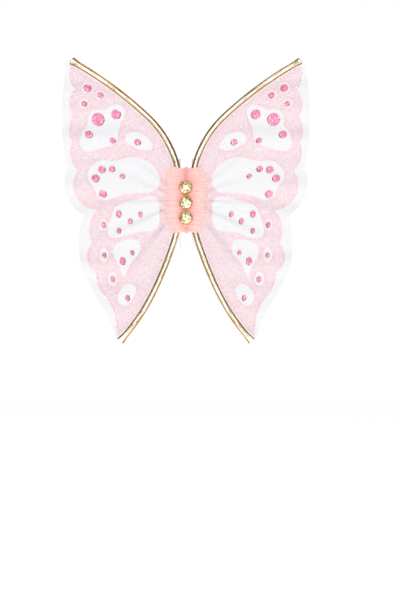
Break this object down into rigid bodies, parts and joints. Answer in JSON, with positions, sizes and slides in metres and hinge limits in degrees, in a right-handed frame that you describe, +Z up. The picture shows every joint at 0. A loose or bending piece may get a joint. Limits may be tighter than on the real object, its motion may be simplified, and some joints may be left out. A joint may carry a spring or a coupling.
{
  "type": "costume fairy wings",
  "caption": "Butterfly-shaped costume wings: sheer wired panels with gold edges and pink glitter, a tulle ruffle with jewels, and elastic arm loops.",
  "frame": {"origin": "centre of the backing patch's wearer-side face, where the wearer's back touches it", "axes": "+Z up, +Y towards the wearer, +X to the right for someone looking at the wearer's back"},
  "size_m": [0.421, 0.0951, 0.4874],
  "materials": {
    "backing_patch": "stiff felt",
    "center_gather": "bunched organza",
    "ruffle_core": "gathered tulle",
    "left_wire_sleeve": "folded felt",
    "right_wire_sleeve": "folded felt",
    "gather_thread": "sewing thread",
    "jewel_setting_top": "bright gold-coloured plating",
    "jewel_top": "faceted, champagne tint",
    "jewel_setting_middle": "bright gold-coloured plating",
    "jewel_middle": "faceted, champagne tint",
    "jewel_setting_bottom": "bright gold-coloured plating",
    "jewel_bottom": "faceted, champagne tint",
    "left_strap_ends": "woven elastic",
    "right_strap_ends": "woven elastic",
    "left_frame_wire": "drawn wire",
    "left_upper_casing": "gold lame, metallic sheen",
    "left_lower_casing": "gold lame, metallic sheen",
    "left_upper_filler": "soft wadding",
    "left_lower_filler": "soft wadding",
    "left_wing_panel": "sheer organza",
    "left_glitter_layer": "fine pink glitter print",
    "left_glitter_dots": "pink glitter",
    "left_dot_backs": "gold glitter",
    "left_ruffle_frill": "soft tulle",
    "right_frame_wire": "drawn wire",
    "right_upper_casing": "gold lame, metallic sheen",
    "right_lower_casing": "gold lame, metallic sheen",
    "right_upper_filler": "soft wadding",
    "right_lower_filler": "soft wadding",
    "right_wing_panel": "sheer organza",
    "right_glitter_layer": "fine pink glitter print",
    "right_glitter_dots": "pink glitter",
    "right_dot_backs": "gold glitter",
    "right_ruffle_frill": "soft tulle",
    "left_arm_strap": "woven elastic",
    "right_arm_strap": "woven elastic"
  },
  "bodies": {
    "center": {"backing_patch": "backing_patch", "center_gather": "center_gather", "ruffle_core": "ruffle_core", "left_wire_sleeve": "left_wire_sleeve", "right_wire_sleeve": "right_wire_sleeve", "gather_thread": "gather_thread", "jewel_setting_top": "jewel_setting_top", "jewel_top": "jewel_top", "jewel_setting_middle": "jewel_setting_middle", "jewel_middle": "jewel_middle", "jewel_setting_bottom": "jewel_setting_bottom", "jewel_bottom": "jewel_bottom", "left_strap_ends": "left_strap_ends", "right_strap_ends": "right_strap_ends"},
    "left_wing": {"left_frame_wire": "left_frame_wire", "left_upper_casing": "left_upper_casing", "left_lower_casing": "left_lower_casing", "left_upper_filler": "left_upper_filler", "left_lower_filler": "left_lower_filler", "left_wing_panel": "left_wing_panel", "left_glitter_layer": "left_glitter_layer", "left_glitter_dots": "left_glitter_dots", "left_dot_backs": "left_dot_backs", "left_ruffle_frill": "left_ruffle_frill"},
    "right_wing": {"right_frame_wire": "right_frame_wire", "right_upper_casing": "right_upper_casing", "right_lower_casing": "right_lower_casing", "right_upper_filler": "right_upper_filler", "right_lower_filler": "right_lower_filler", "right_wing_panel": "right_wing_panel", "right_glitter_layer": "right_glitter_layer", "right_glitter_dots": "right_glitter_dots", "right_dot_backs": "right_dot_backs", "right_ruffle_frill": "right_ruffle_frill"},
    "left_strap": {"left_arm_strap": "left_arm_strap"},
    "right_strap": {"right_arm_strap": "right_arm_strap"}
  },
  "joints": [
    {"name": "left_wing_fold", "type": "hinge", "parent": "center", "child": "left_wing", "pos_m": [-0.0105, -0.007, 0], "axis": [0, 0, 1], "range_deg": [-8, 65], "stiffness_Nm_per_rad": 0.02},
    {"name": "right_wing_fold", "type": "hinge", "parent": "center", "child": "right_wing", "pos_m": [0.0105, -0.007, 0], "axis": [0, 0, -1], "range_deg": [-8, 65], "stiffness_Nm_per_rad": 0.02},
    {"name": "left_strap_swing", "type": "hinge", "parent": "center", "child": "left_strap", "pos_m": [-0.015, -0.0006, 0], "axis": [0, 0, 1], "range_deg": [-7, 45]},
    {"name": "right_strap_swing", "type": "hinge", "parent": "center", "child": "right_strap", "pos_m": [0.015, -0.0006, 0], "axis": [0, 0, -1], "range_deg": [-7, 45]}
  ]
}
